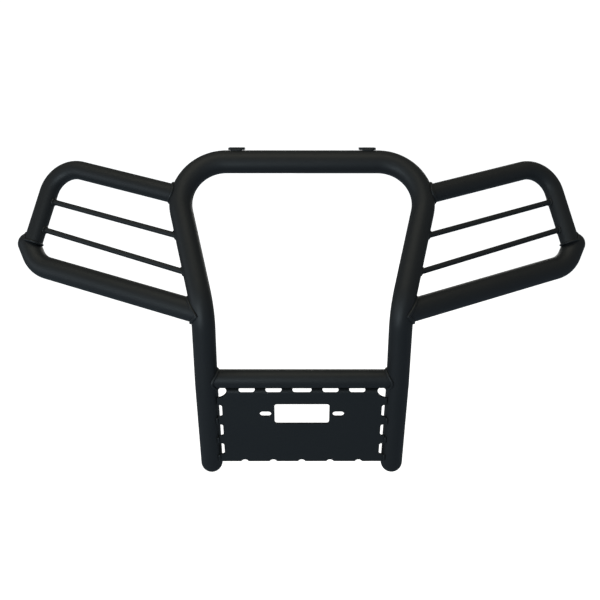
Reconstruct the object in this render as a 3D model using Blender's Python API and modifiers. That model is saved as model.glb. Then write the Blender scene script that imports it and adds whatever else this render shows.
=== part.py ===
"""Front grille guard for a quad bike: a bent tube hoop with a cross tube, two swept side wings, a folded winch plate
and two rack tabs, all welded together.

X runs across the guard, -Y points ahead of the vehicle and +Z points up. The origin is the middle of the underside of
the winch plate's bottom flange, where the guard bolts to the vehicle's frame. Left and right are as seen from the front.
"""

import math

import bmesh
import bpy
from mathutils import Matrix, Quaternion, Vector

# Stock sizes
HOOP_DIAMETER = 0.0381
HOOP_WALL = 0.0024
CROSS_DIAMETER = 0.03175
CROSS_WALL = 0.0021
WING_UPPER_DIAMETER = 0.03175
WING_UPPER_WALL = 0.0021
WING_LOWER_DIAMETER = 0.0381
WING_LOWER_WALL = 0.0024
ROD_DIAMETER = 0.009525
PLATE_THICKNESS = 0.0035
TAB_THICKNESS = 0.0040

# Hoop: half spans across X, heights above the feet, and setbacks behind the foremost corner
FOOT_HALF_SPAN = 0.1600
FOOT_HEIGHT = 0.0027
KINK_HALF_SPAN = 0.1600
KINK_HEIGHT = 0.1500
KINK_SETBACK = 0.0790
NOSE_HALF_SPAN = 0.1583
NOSE_HEIGHT = 0.2749
SHOULDER_HALF_SPAN = 0.2186
SHOULDER_HEIGHT = 0.5203
SHOULDER_SETBACK = 0.0700
LOWER_RAKE = math.radians(35.0)
HOOP_BEND_RADIUS = 0.0735

# Cross tube
CROSS_HEIGHT = 0.1590

# Wings: heights above the feet, the tip's reach across X and how far in from it the other corners are
WING_SWEEP = math.radians(18.8)
WING_LOWER_SWEEP = math.radians(19.8)
UPPER_ROOT_HEIGHT = 0.4618
UPPER_CORNER_INSET = 0.0480
UPPER_CORNER_HEIGHT = 0.5256
UPPER_BEND_RADIUS = 0.0490
LEG_END_INSET = 0.0093
LEG_END_HEIGHT = 0.3898
LOWER_ROOT_HEIGHT = 0.2691
LOWER_CORNER_INSET = 0.0187
LOWER_CORNER_HEIGHT = 0.3501
LOWER_BEND_RADIUS = 0.0510
TIP_SPAN = 0.4727
TIP_HEIGHT = 0.3878

# Rods: name, height where the rod meets the hoop, height where it meets the wing's outer leg
RODS = (("upper_rod", 0.3900, 0.4634), ("lower_rod", 0.3298, 0.4150))

# Winch plate: folded back along its top and bottom, measured up from its lower bend and back from its face
PLATE_FACE_OFFSET = 0.0120
PLATE_FOOT_CLEARANCE = 0.0077
PLATE_FLANGE_DEPTH = 0.0300
PLATE_BEND_RADIUS = 0.0064
PLATE_BEND_SEGMENTS = 4
FAIRLEAD_WIDTH = 0.0930
FAIRLEAD_HEIGHT = 0.0442
FAIRLEAD_CORNER = 0.0045
FAIRLEAD_UP = 0.1147
FAIRLEAD_BOLT_PITCH = 0.1238
FAIRLEAD_SLOT_LENGTH = 0.0200
FAIRLEAD_SLOT_WIDTH = 0.0115
TOP_SLOT_LENGTH = 0.0270
TOP_SLOT_MIDDLE_LENGTH = 0.0320
TOP_SLOT_REACH = 0.0062
TOP_SLOT_SHIFT = 0.0019
BOTTOM_SLOT_LENGTH = 0.0135
BOTTOM_SLOT_REACH = 0.0080
SIDE_NOTCH_LENGTH = 0.0265
SIDE_NOTCH_DEPTH = 0.0075
SIDE_NOTCH_CORNER = 0.0040
TOP_SLOT_INNER_PITCH = 0.0477
TOP_SLOT_OUTER_PITCH = 0.0449
BOTTOM_SLOT_PITCH = 0.0502
SIDE_NOTCH_PITCH = 0.0441
SIDE_NOTCH_FIRST_UP = 0.0336
SIDE_NOTCH_COUNT = 3
CORNER_RELIEF_RADIUS = 0.0170
CORNER_RELIEF_SHIFT = 0.0011
TOP_FLANGE_CUTBACK = 0.0120
BOTTOM_FLANGE_CUTBACK = 0.0130
FRAME_BOLT_DIAMETER = 0.0105
FRAME_BOLT_PITCH = 0.1506
FRAME_BOLT_SETBACK = 0.0190

# Rack tabs on the hoop's top bar
TAB_SPAN = 0.1092
TAB_WIDTH = 0.0270
TAB_LENGTH = 0.0380
TAB_FRONT_REACH = 0.0040
TAB_RISE = math.radians(10.5)
TAB_CORNER = 0.0050
TAB_HOLE_DIAMETER = 0.0090
TAB_HOLE_FROM_END = 0.0130

# Welds
WELD_RADIUS = 0.0024
ROD_WELD_RADIUS = 0.0016
PLATE_WELD_RADIUS = 0.0022
PLATE_WELD_LENGTH = 0.0130
PLATE_WELDS = (("bottom", -0.45), ("middle", 0.5), ("top", 1.5))
TAB_WELD_RADIUS = 0.0018
GAP = 0.0003

# Smoothness
ARC_STEP = math.radians(9.0)
TUBE_BEVEL_RESOLUTION = 10
ROD_BEVEL_RESOLUTION = 4
RING_WELD_BEVEL_RESOLUTION = 1
STRAIGHT_WELD_BEVEL_RESOLUTION = 4
WELD_POINTS = 28
ROD_WELD_POINTS = 16
WELD_SEARCH = 0.12

HOOP_RADIUS = HOOP_DIAMETER / 2
CROSS_RADIUS = CROSS_DIAMETER / 2
WING_UPPER_RADIUS = WING_UPPER_DIAMETER / 2
WING_LOWER_RADIUS = WING_LOWER_DIAMETER / 2
ROD_RADIUS = ROD_DIAMETER / 2
UPPER_CORNER_SPAN = TIP_SPAN - UPPER_CORNER_INSET
LEG_END_SPAN = TIP_SPAN - LEG_END_INSET
LOWER_CORNER_SPAN = TIP_SPAN - LOWER_CORNER_INSET
PLATE_SEAT = math.sqrt(HOOP_RADIUS**2 - (PLATE_FACE_OFFSET - PLATE_THICKNESS) ** 2)
PLATE_HALF_WIDTH = FOOT_HALF_SPAN - PLATE_SEAT - GAP
SIDES = (("left", -1), ("right", 1))

PLATE_BACK = Vector((0.0, math.cos(LOWER_RAKE), math.sin(LOWER_RAKE)))
PLATE_UP = Vector((0.0, -math.sin(LOWER_RAKE), math.cos(LOWER_RAKE)))


# ---- Scene, collections and materials ----

def clear_scene():
    """Removes every object of the scene."""
    for obj in list(bpy.data.objects):
        bpy.data.objects.remove(obj, do_unlink=True)


def make_collection(name, hidden=False):
    """A collection linked to the scene."""
    collection = bpy.data.collections.new(name)
    collection.hide_render = hidden
    bpy.context.scene.collection.children.link(collection)
    return collection


def make_material(name, colour, roughness, metallic):
    """A Principled material of one colour."""
    material = bpy.data.materials.new(name)
    material.use_nodes = True
    shader = material.node_tree.nodes["Principled BSDF"]
    shader.inputs["Base Color"].default_value = (*colour, 1.0)
    shader.inputs["Roughness"].default_value = roughness
    shader.inputs["Metallic"].default_value = metallic
    material.diffuse_color = (*colour, 1.0)
    return material


def powder_coat(name):
    """Satin black powder coat on steel."""
    return make_material(name, (0.019, 0.020, 0.022), 0.52, 0.0)


class Workshop:
    """The collections and the empty that every sub-part hangs on."""

    def __init__(self):
        self.parts = make_collection("front_grille_guard")
        self.cutters = make_collection("cutters", hidden=True)
        self.origin = bpy.data.objects.new("frame_mount_origin", None)
        self.parts.objects.link(self.origin)

    def part(self, name, data, finish):
        """A named sub-part with its own material."""
        obj = bpy.data.objects.new(name, data)
        data.materials.clear()
        data.materials.append(finish(name + "_finish"))
        self.parts.objects.link(obj)
        obj.parent = self.origin
        return obj

    def cutter(self, name, data):
        """A helper solid that cuts others and isn't a part."""
        obj = bpy.data.objects.new(name, data)
        obj.hide_render = True
        obj.display_type = "WIRE"
        self.cutters.objects.link(obj)
        obj.parent = self.origin
        return obj


def add_cut(obj, cutter):
    """Takes the cutter's shape out of obj."""
    modifier = obj.modifiers.new("cut_" + cutter.name, "BOOLEAN")
    modifier.operation = "DIFFERENCE"
    modifier.object = cutter


# ---- Centre lines ----

def filleted(corners, radius):
    """Points of the line through the corners, with each inner corner rounded to the radius."""
    path = [corners[0].copy()]
    for before, corner, after in zip(corners, corners[1:], corners[2:]):
        back, ahead = (before - corner).normalized(), (after - corner).normalized()
        turn = math.pi - back.angle(ahead)
        centre = corner + (back + ahead).normalized() * radius / math.cos(turn / 2)
        arm = corner + back * radius * math.tan(turn / 2) - centre
        axis = ahead.cross(back).normalized()
        steps = max(2, math.ceil(turn / ARC_STEP))
        path += [centre + Quaternion(axis, turn * i / steps) @ arm for i in range(steps + 1)]
    path.append(corners[-1].copy())
    return path


def mirrored(points):
    """The same points on the other side of X = 0."""
    return [Vector((-p.x, p.y, p.z)) for p in points]


def hoop_corners(side):
    """Foot, kink, nose and shoulder of one upright."""
    foot_setback = KINK_SETBACK + (KINK_HEIGHT - FOOT_HEIGHT) * math.tan(LOWER_RAKE)
    return [
        Vector((side * FOOT_HALF_SPAN, foot_setback, FOOT_HEIGHT)),
        Vector((side * KINK_HALF_SPAN, KINK_SETBACK, KINK_HEIGHT)),
        Vector((side * NOSE_HALF_SPAN, 0.0, NOSE_HEIGHT)),
        Vector((side * SHOULDER_HALF_SPAN, SHOULDER_SETBACK, SHOULDER_HEIGHT)),
    ]


def hoop_path():
    """The hoop's centre line, from the left foot over the top to the right foot."""
    return filleted(hoop_corners(-1) + hoop_corners(1)[::-1], HOOP_BEND_RADIUS)


def point_at_height(path, height):
    """The first point of the path at this height."""
    for start, end in zip(path, path[1:]):
        if min(start.z, end.z) <= height <= max(start.z, end.z):
            return start.lerp(end, (height - start.z) / (end.z - start.z))
    raise ValueError(f"the path does not reach {height}")


def wing_point(span, height, sweep):
    """A point on the left wing's swept plane, which leans back with the hoop's upper half."""
    share = (height - NOSE_HEIGHT) / (SHOULDER_HEIGHT - NOSE_HEIGHT)
    hoop_span = NOSE_HALF_SPAN + share * (SHOULDER_HALF_SPAN - NOSE_HALF_SPAN)
    return Vector((-span, share * SHOULDER_SETBACK + (span - hoop_span) * math.tan(sweep), height))


def wing_upper_path(hoop):
    """Centre line of the left wing's upper tube: root, corner, and the leg that drops to the lower tube."""
    corners = [
        point_at_height(hoop, UPPER_ROOT_HEIGHT),
        wing_point(UPPER_CORNER_SPAN, UPPER_CORNER_HEIGHT, WING_SWEEP),
        wing_point(LEG_END_SPAN, LEG_END_HEIGHT, WING_SWEEP),
    ]
    return filleted(corners, UPPER_BEND_RADIUS)


def wing_lower_path(hoop):
    """Centre line of the left wing's lower tube: root, corner, and the end that turns up to the leg."""
    corners = [
        point_at_height(hoop, LOWER_ROOT_HEIGHT),
        wing_point(LOWER_CORNER_SPAN, LOWER_CORNER_HEIGHT, WING_LOWER_SWEEP),
        wing_point(TIP_SPAN, TIP_HEIGHT, WING_LOWER_SWEEP),
    ]
    return filleted(corners, LOWER_BEND_RADIUS)


def cross_path(hoop):
    """Centre line of the cross tube, from one upright to the other."""
    end = point_at_height(hoop, CROSS_HEIGHT)
    return [end, Vector((-end.x, end.y, end.z))]


def rod_path(hoop, leg, inner_height, outer_height):
    """Centre line of a left rod, from the upright to the wing's outer leg."""
    return [point_at_height(hoop, inner_height), point_at_height(leg[::-1], outer_height)]


# ---- Tubes ----

def curve_of(name, path, radius, resolution, capped, cyclic=False):
    """A round bevelled curve along the path."""
    curve = bpy.data.curves.new(name, "CURVE")
    curve.dimensions = "3D"
    curve.bevel_depth = radius
    curve.bevel_resolution = resolution
    curve.use_fill_caps = capped
    spline = curve.splines.new("POLY")
    spline.points.add(len(path) - 1)
    for point, place in zip(spline.points, path):
        point.co = (*place, 1.0)
    spline.use_cyclic_u = cyclic
    return curve


def mesh_of(curve):
    """The curve's tube as a mesh with its caps welded, and the curve removed."""
    carrier = bpy.data.objects.new(curve.name, curve)
    bpy.context.scene.collection.objects.link(carrier)
    graph = bpy.context.evaluated_depsgraph_get()
    mesh = bpy.data.meshes.new_from_object(carrier.evaluated_get(graph))
    mesh.transform(carrier.matrix_world)
    bpy.data.objects.remove(carrier, do_unlink=True)
    shape = bmesh.new()
    shape.from_mesh(mesh)
    bmesh.ops.remove_doubles(shape, verts=shape.verts, dist=1e-6)
    shape.to_mesh(mesh)
    shape.free()
    mesh.shade_smooth()
    mesh.set_sharp_from_angle(angle=math.radians(40))
    return mesh


def hollow_tube(shop, name, path, radius, wall):
    """A tube with open ends."""
    obj = shop.part(name, mesh_of(curve_of(name, path, radius, TUBE_BEVEL_RESOLUTION, False)), powder_coat)
    shell = obj.modifiers.new("wall", "SOLIDIFY")
    shell.thickness = wall
    shell.offset = -1.0
    shell.use_even_offset = True
    return obj


def clearance_bar(shop, name, path, radius, resolution=TUBE_BEVEL_RESOLUTION):
    """A solid bar along the path, a gap larger than the tube, that copes the tubes welded to it."""
    return shop.cutter(name, mesh_of(curve_of(name, path, radius + GAP, resolution, True)))


# ---- Welds ----

def distance_to(path, place):
    """How far a place is from the path."""
    best = math.inf
    for start, end in zip(path, path[1:]):
        along = end - start
        share = max(0.0, min(1.0, (place - start).dot(along) / along.length_squared))
        best = min(best, (start + along * share - place).length)
    return best


def weld_ring(start, heading, branch_radius, main_path, main_radius, bead, points):
    """A closed bead line round a branch tube, where it lands on the main tube.

    Each point lies a bead and a gap off both tubes. The heading points from the joint out along the branch."""
    stand_off = bead + GAP
    across = heading.orthogonal().normalized()
    other = heading.cross(across).normalized()
    ring = []
    for i in range(points):
        angle = 2 * math.pi * i / points
        rim = start + (across * math.cos(angle) + other * math.sin(angle)) * (branch_radius + stand_off)
        near, far = 0.0, WELD_SEARCH
        if distance_to(main_path, rim) < main_radius + stand_off:
            for _ in range(40):
                middle = (near + far) / 2
                if distance_to(main_path, rim + heading * middle) < main_radius + stand_off:
                    near = middle
                else:
                    far = middle
            rim = rim + heading * far
        ring.append(rim)
    return ring


def bead_part(shop, name, path, radius, cyclic):
    """A weld bead along the path, a ring around a tube or a straight one in a groove."""
    resolution = RING_WELD_BEVEL_RESOLUTION if cyclic else STRAIGHT_WELD_BEVEL_RESOLUTION
    curve = curve_of(name, path, radius, resolution, not cyclic, cyclic)
    return shop.part(name, mesh_of(curve), powder_coat)


def heading_of(path):
    """The direction in which the path sets off."""
    return (path[1] - path[0]).normalized()


# ---- Hoop, cross tube and wings ----

def build_hoop(shop, hoop):
    """The bent hoop and the two domes that close its feet."""
    hollow_tube(shop, "main_hoop", hoop, HOOP_RADIUS, HOOP_WALL)
    for name, side in SIDES:
        foot = hoop[0] if side < 0 else hoop[-1]
        before = hoop[1] if side < 0 else hoop[-2]
        add_dome(shop, name + "_hoop_end_cap", foot, (foot - before).normalized(), HOOP_RADIUS, HOOP_WALL)


def turned(name, profile, steps):
    """A closed profile of (radius, height) points turned about Z."""
    mesh = bpy.data.meshes.new(name)
    corners = [(radius, 0.0, height) for radius, height in profile]
    mesh.from_pydata(corners, [(i, (i + 1) % len(corners)) for i in range(len(corners))], [])
    carrier = bpy.data.objects.new(name, mesh)
    bpy.context.scene.collection.objects.link(carrier)
    spin = carrier.modifiers.new("turn", "SCREW")
    spin.steps = spin.render_steps = steps
    spin.use_merge_vertices = True
    spin.merge_threshold = 0.00001
    graph = bpy.context.evaluated_depsgraph_get()
    result = bpy.data.meshes.new_from_object(carrier.evaluated_get(graph))
    bpy.data.objects.remove(carrier, do_unlink=True)
    result.name = name
    result.shade_smooth()
    result.set_sharp_from_angle(angle=math.radians(40))
    return result


def place_along(obj, place, heading):
    """Puts obj's origin at the place with its Z axis along the heading."""
    obj.matrix_local = Matrix.Translation(place) @ heading.to_track_quat("Z", "X").to_matrix().to_4x4()


def add_dome(shop, name, tip, outward, radius, wall):
    """The pressed dome that closes a tube's end."""
    inner = radius - wall
    angles = [math.radians(90 - 15 * i) for i in range(7)]
    profile = [(radius * math.cos(a), radius * math.sin(a)) for a in angles]
    profile += [(inner * math.cos(a), inner * math.sin(a)) for a in reversed(angles)]
    profile[0] = (0.0, radius)
    profile[-1] = (0.0, inner)
    dome = shop.part(name, turned(name, profile, 24), powder_coat)
    place_along(dome, tip + outward * GAP, outward)


def build_cross_tube(shop, hoop, hoop_bar):
    """The cross tube, coped to the uprights, with a bead at each end."""
    path = cross_path(hoop)
    tube = hollow_tube(shop, "cross_tube", path, CROSS_RADIUS, CROSS_WALL)
    add_cut(tube, hoop_bar)
    for (name, _), line in zip(SIDES, (path, path[::-1])):
        ring = weld_ring(line[0], heading_of(line), CROSS_RADIUS, hoop, HOOP_RADIUS, WELD_RADIUS, WELD_POINTS)
        bead_part(shop, "weld_cross_tube_" + name, ring, WELD_RADIUS, True)


def build_wing(shop, hoop, hoop_bar, name, side):
    """One wing: its upper and lower tubes, two rods, the dome at the tip and the beads at the joints."""

    def put(path):
        return path if side < 0 else mirrored(path)

    main = put(hoop)
    upper = put(wing_upper_path(hoop))
    lower = put(wing_lower_path(hoop))
    upper_tube = hollow_tube(shop, name + "_wing_upper_tube", upper, WING_UPPER_RADIUS, WING_UPPER_WALL)
    lower_tube = hollow_tube(shop, name + "_wing_lower_tube", lower, WING_LOWER_RADIUS, WING_LOWER_WALL)
    outward = (lower[-1] - lower[-2]).normalized()
    add_dome(shop, name + "_wing_end_cap", lower[-1], outward, WING_LOWER_RADIUS, WING_LOWER_WALL)

    lower_bar = clearance_bar(shop, name + "_wing_lower_bar", lower, WING_LOWER_RADIUS)
    upper_bar = clearance_bar(shop, name + "_wing_upper_bar", upper, WING_UPPER_RADIUS)
    bpy.ops.mesh.primitive_uv_sphere_add(
        segments=24, ring_count=16, radius=WING_LOWER_RADIUS + 2 * GAP, location=(0.0, 0.0, 0.0)
    )
    ball = bpy.context.object
    ball_mesh = ball.data
    bpy.data.objects.remove(ball, do_unlink=True)
    tip_ball = shop.cutter(name + "_wing_tip_ball", ball_mesh)
    place_along(tip_ball, lower[-1] + outward * GAP, outward)

    add_cut(upper_tube, hoop_bar)
    add_cut(upper_tube, lower_bar)
    add_cut(upper_tube, tip_ball)
    add_cut(lower_tube, hoop_bar)

    for rod_name, inner_height, outer_height in RODS:
        line = put(rod_path(hoop, wing_upper_path(hoop), inner_height, outer_height))
        label = f"{name}_{rod_name}"
        rod = shop.part(label, mesh_of(curve_of(label, line, ROD_RADIUS, ROD_BEVEL_RESOLUTION, True)), powder_coat)
        add_cut(rod, hoop_bar)
        add_cut(rod, upper_bar)
        ends = (("inner", line, main, HOOP_RADIUS), ("outer", line[::-1], upper, WING_UPPER_RADIUS))
        for end, run, target, radius in ends:
            ring = weld_ring(run[0], heading_of(run), ROD_RADIUS, target, radius, ROD_WELD_RADIUS, ROD_WELD_POINTS)
            bead_part(shop, f"weld_{label}_{end}", ring, ROD_WELD_RADIUS, True)

    joints = (
        ("wing_upper", upper, WING_UPPER_RADIUS, main, HOOP_RADIUS),
        ("wing_lower", lower, WING_LOWER_RADIUS, main, HOOP_RADIUS),
        ("wing_tip", upper[::-1], WING_UPPER_RADIUS, lower, WING_LOWER_RADIUS),
    )
    for joint, run, branch_radius, target, main_radius in joints:
        ring = weld_ring(run[0], heading_of(run), branch_radius, target, main_radius, WELD_RADIUS, WELD_POINTS)
        bead_part(shop, f"weld_{joint}_{name}", ring, WELD_RADIUS, True)


# ---- Winch plate ----

def plate_corner():
    """The middle of the line where the plate's face and its bottom flange would meet without a bend."""
    foot = hoop_corners(1)[0]
    face = Vector((0.0, foot.y, foot.z)) - PLATE_BACK * PLATE_FACE_OFFSET
    return face + PLATE_UP * PLATE_FOOT_CLEARANCE


def plate_height(hoop):
    """From the plate's lower edge up to the flange that the cross tube rests on."""
    axis = cross_path(hoop)[0]
    return (axis - plate_corner()).dot(PLATE_UP) - CROSS_RADIUS - GAP


def block_mesh(name, low, high):
    """A box between two corners."""
    shape = bmesh.new()
    bmesh.ops.create_cube(shape, size=1.0)
    low, high = Vector(low), Vector(high)
    bmesh.ops.scale(shape, vec=high - low, verts=shape.verts)
    bmesh.ops.translate(shape, vec=(low + high) / 2, verts=shape.verts)
    mesh = bpy.data.meshes.new(name)
    shape.to_mesh(mesh)
    shape.free()
    return mesh


def slot_mesh(name, length, width, depth, corner, segments=6):
    """A round-cornered slot cutter: length along X, width along Z, and its depth along Y, about its middle."""
    shape = bmesh.new()
    bmesh.ops.create_cube(shape, size=1.0)
    bmesh.ops.scale(shape, vec=(length, depth, width), verts=shape.verts)
    through = [e for e in shape.edges if abs(e.verts[0].co.y - e.verts[1].co.y) > depth / 2]
    bmesh.ops.bevel(
        shape, geom=through, offset=corner, segments=segments, affect="EDGES", profile=0.5, material=-1
    )
    mesh = bpy.data.meshes.new(name)
    shape.to_mesh(mesh)
    shape.free()
    return mesh


def pan_mesh(name, height):
    """The plate's outer surface: the face and its top and bottom flanges, joined by rounded bends."""
    shape = bmesh.new()
    bmesh.ops.create_cube(shape, size=1.0)
    size = Vector((2 * PLATE_HALF_WIDTH, PLATE_FLANGE_DEPTH, height))
    bmesh.ops.scale(shape, vec=size, verts=shape.verts)
    bmesh.ops.translate(shape, vec=(0.0, size.y / 2, size.z / 2), verts=shape.verts)
    missing = [f for f in shape.faces if f.normal.y > 0.5 or abs(f.normal.x) > 0.5]
    bmesh.ops.delete(shape, geom=missing, context="FACES")
    bends = [e for e in shape.edges if not e.is_boundary]
    bmesh.ops.bevel(
        shape,
        geom=bends,
        offset=PLATE_BEND_RADIUS,
        segments=PLATE_BEND_SEGMENTS,
        affect="EDGES",
        profile=0.5,
        material=-1,
    )
    mesh = bpy.data.meshes.new(name)
    shape.to_mesh(mesh)
    shape.free()
    return mesh


def build_plate(shop, hoop, hoop_bar):
    """The winch plate with its fairlead window, bolt slots, bend slots and corner reliefs."""
    corner, height = plate_corner(), plate_height(hoop)
    plate = shop.part("winch_plate", pan_mesh("winch_plate", height), powder_coat)
    set_on_plate(plate, corner, (0.0, 0.0, 0.0))
    shell = plate.modifiers.new("sheet", "SOLIDIFY")
    shell.thickness = PLATE_THICKNESS
    shell.offset = -1.0
    shell.use_even_offset = True

    through = 4 * PLATE_THICKNESS

    def slot(name, length, width, rounding, at, tilt=(0.0, 0.0, 0.0), depth=through):
        cutter = shop.cutter(name, slot_mesh(name, length, width, depth, rounding))
        set_on_plate(cutter, corner, at, tilt)
        add_cut(plate, cutter)

    slot("fairlead_window", FAIRLEAD_WIDTH, FAIRLEAD_HEIGHT, FAIRLEAD_CORNER, (0.0, 0.0, FAIRLEAD_UP))
    for name, side in SIDES:
        at = (side * FAIRLEAD_BOLT_PITCH / 2, 0.0, FAIRLEAD_UP)
        slot(
            f"fairlead_slot_{name}", FAIRLEAD_SLOT_LENGTH, FAIRLEAD_SLOT_WIDTH, 0.49 * FAIRLEAD_SLOT_WIDTH, at
        )

    diagonal = 2 * PLATE_THICKNESS + 2 * PLATE_BEND_RADIUS
    for i in range(-2, 3):
        length = TOP_SLOT_MIDDLE_LENGTH if i == 0 else TOP_SLOT_LENGTH
        outer = max(0, abs(i) - 1)
        across = math.copysign(min(abs(i), 1) * TOP_SLOT_INNER_PITCH + outer * TOP_SLOT_OUTER_PITCH, i)
        width = TOP_SLOT_REACH * math.sqrt(2)
        tilt = (math.radians(-45), 0.0, 0.0)
        at = (across, TOP_SLOT_SHIFT, height + TOP_SLOT_SHIFT)
        slot(f"top_bend_slot_{i + 3}", length, width, 0.49 * width, at, tilt, diagonal)
        width = BOTTOM_SLOT_REACH * math.sqrt(2)
        tilt = (math.radians(45), 0.0, 0.0)
        at = (i * BOTTOM_SLOT_PITCH, 0.0, 0.0)
        slot(f"bottom_bend_slot_{i + 3}", BOTTOM_SLOT_LENGTH, width, 0.49 * width, at, tilt, diagonal)

    for name, side in SIDES:
        for i in range(SIDE_NOTCH_COUNT):
            at = (side * PLATE_HALF_WIDTH, 0.0, SIDE_NOTCH_FIRST_UP + i * SIDE_NOTCH_PITCH)
            slot(f"side_notch_{name}_{i + 1}", 2 * SIDE_NOTCH_DEPTH, SIDE_NOTCH_LENGTH, SIDE_NOTCH_CORNER, at)
        cut_plate_corners(shop, plate, corner, height, name, side)

    for name, side in SIDES:
        bpy.ops.mesh.primitive_cylinder_add(vertices=24, radius=FRAME_BOLT_DIAMETER / 2, depth=through)
        drill_mesh = bpy.context.object.data
        bpy.data.objects.remove(bpy.context.object, do_unlink=True)
        drill = shop.cutter(f"frame_bolt_hole_{name}", drill_mesh)
        set_on_plate(drill, corner, (side * FRAME_BOLT_PITCH / 2, FRAME_BOLT_SETBACK, 0.0))
        add_cut(plate, drill)
    add_cut(plate, hoop_bar)
    add_plate_welds(shop, corner)


def cut_plate_corners(shop, plate, corner, height, name, side):
    """The round relief at a top corner, and the cut-back ends of the two flanges."""
    bpy.ops.mesh.primitive_uv_sphere_add(segments=32, ring_count=20, radius=CORNER_RELIEF_RADIUS)
    ball_mesh = bpy.context.object.data
    bpy.data.objects.remove(bpy.context.object, do_unlink=True)
    relief = shop.cutter(f"corner_relief_{name}", ball_mesh)
    set_on_plate(relief, corner, (side * PLATE_HALF_WIDTH, CORNER_RELIEF_SHIFT, height + CORNER_RELIEF_SHIFT))
    add_cut(plate, relief)

    for flange, cutback, middle in (("top", TOP_FLANGE_CUTBACK, height), ("bottom", BOTTOM_FLANGE_CUTBACK, 0.0)):
        label = f"{flange}_flange_cutback_{name}"
        reach = PLATE_BEND_RADIUS + PLATE_THICKNESS
        cutter = shop.cutter(label, block_mesh(label, (-cutback, reach, -reach), (cutback, 2 * PLATE_FLANGE_DEPTH, reach)))
        set_on_plate(cutter, corner, (side * PLATE_HALF_WIDTH, 0.0, middle))
        add_cut(plate, cutter)


def set_on_plate(obj, corner, at, tilt=(0.0, 0.0, 0.0)):
    """Places obj in the plate's own directions: X across, Y back from the face, Z up the face."""
    turn = Matrix.Rotation(LOWER_RAKE, 4, "X")
    spin = Matrix.Rotation(tilt[2], 4, "Z") @ Matrix.Rotation(tilt[1], 4, "Y") @ Matrix.Rotation(tilt[0], 4, "X")
    obj.matrix_local = Matrix.Translation(corner) @ turn @ Matrix.Translation(at) @ spin


def add_plate_welds(shop, corner):
    """Short beads in the groove between the plate's face and the uprights, on the ties between the side notches."""
    ahead = PLATE_FACE_OFFSET + PLATE_WELD_RADIUS + GAP
    span = FOOT_HALF_SPAN - math.sqrt((HOOP_RADIUS + PLATE_WELD_RADIUS + GAP) ** 2 - ahead**2)
    for name, side in SIDES:
        for label, notches in PLATE_WELDS:
            up = PLATE_UP * (SIDE_NOTCH_FIRST_UP + notches * SIDE_NOTCH_PITCH)
            middle = corner + Vector((side * span, 0.0, 0.0)) - PLATE_BACK * (ahead - PLATE_FACE_OFFSET) + up
            half = PLATE_UP * PLATE_WELD_LENGTH / 2
            bead_part(shop, f"weld_plate_{name}_{label}", [middle - half, middle + half], PLATE_WELD_RADIUS, False)


# ---- Rack tabs ----

def tab_outline():
    """Corners of a tab seen from above, from its front edge on the bar to its far end."""
    half, far = TAB_WIDTH / 2, TAB_LENGTH - TAB_FRONT_REACH
    return [(-half, -TAB_FRONT_REACH), (half, -TAB_FRONT_REACH), (half, far), (-half, far)]


def rounded_outline(corners, radius, steps=4):
    """A flat closed outline with each corner rounded."""
    points = []
    count = len(corners)
    for i, corner in enumerate(corners):
        here = Vector(corner)
        back = (Vector(corners[i - 1]) - here).normalized()
        ahead = (Vector(corners[(i + 1) % count]) - here).normalized()
        turn = math.pi - back.angle(ahead)
        reach = radius * math.tan(turn / 2)
        centre = here + (back + ahead).normalized() * radius / math.cos(turn / 2)
        first, last = here + back * reach - centre, here + ahead * reach - centre
        start = math.atan2(first.y, first.x)
        sweep = math.atan2(first.x * last.y - first.y * last.x, first.dot(last))
        for k in range(steps + 1):
            angle = start + sweep * k / steps
            points.append(centre + Vector((math.cos(angle), math.sin(angle))) * radius)
    return points


def build_tab(shop, name, side):
    """A rack tab that lies on the top bar and rises to the back, with its bolt hole."""
    label = name + "_rack_tab"
    curve = bpy.data.curves.new(label, "CURVE")
    curve.dimensions = "2D"
    curve.fill_mode = "BOTH"
    curve.extrude = TAB_THICKNESS / 2
    hole_radius = TAB_HOLE_DIAMETER / 2
    hole_centre = Vector((0.0, TAB_LENGTH - TAB_FRONT_REACH - TAB_HOLE_FROM_END))
    hole = [
        hole_centre + Vector((math.cos(a), math.sin(a))) * hole_radius
        for a in (2 * math.pi * i / 20 for i in range(20))
    ]
    for outline in (rounded_outline(tab_outline(), TAB_CORNER), hole):
        spline = curve.splines.new("POLY")
        spline.points.add(len(outline) - 1)
        for point, place in zip(spline.points, outline):
            point.co = (place.x, place.y, 0.0, 1.0)
        spline.use_cyclic_u = True
    tab = shop.part(label, mesh_of(curve), powder_coat)
    normal = Vector((0.0, -math.sin(TAB_RISE), math.cos(TAB_RISE)))
    bar = Vector((side * TAB_SPAN, SHOULDER_SETBACK, SHOULDER_HEIGHT))
    seat = bar + normal * (HOOP_RADIUS + GAP + TAB_THICKNESS / 2)
    tab.matrix_local = Matrix.Translation(seat) @ Matrix.Rotation(TAB_RISE, 4, "X")
    add_tab_weld(shop, name, bar, normal)


def add_tab_weld(shop, name, bar, normal):
    """The bead in the groove between the bar and the tab's front edge."""
    rise = Vector((0.0, math.cos(TAB_RISE), math.sin(TAB_RISE)))
    ahead = TAB_FRONT_REACH + TAB_WELD_RADIUS + GAP
    up = math.sqrt((HOOP_RADIUS + TAB_WELD_RADIUS + GAP) ** 2 - ahead**2)
    middle = bar - rise * ahead + normal * up
    half = Vector((TAB_WIDTH / 2 - TAB_CORNER, 0.0, 0.0))
    bead_part(shop, f"weld_rack_tab_{name}", [middle - half, middle + half], TAB_WELD_RADIUS, False)


# ---- Assembly ----

def frame_mount():
    """The middle of the bottom flange's flat underside."""
    flat_start = PLATE_BEND_RADIUS
    return plate_corner() + PLATE_BACK * (flat_start + PLATE_FLANGE_DEPTH) / 2


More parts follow.
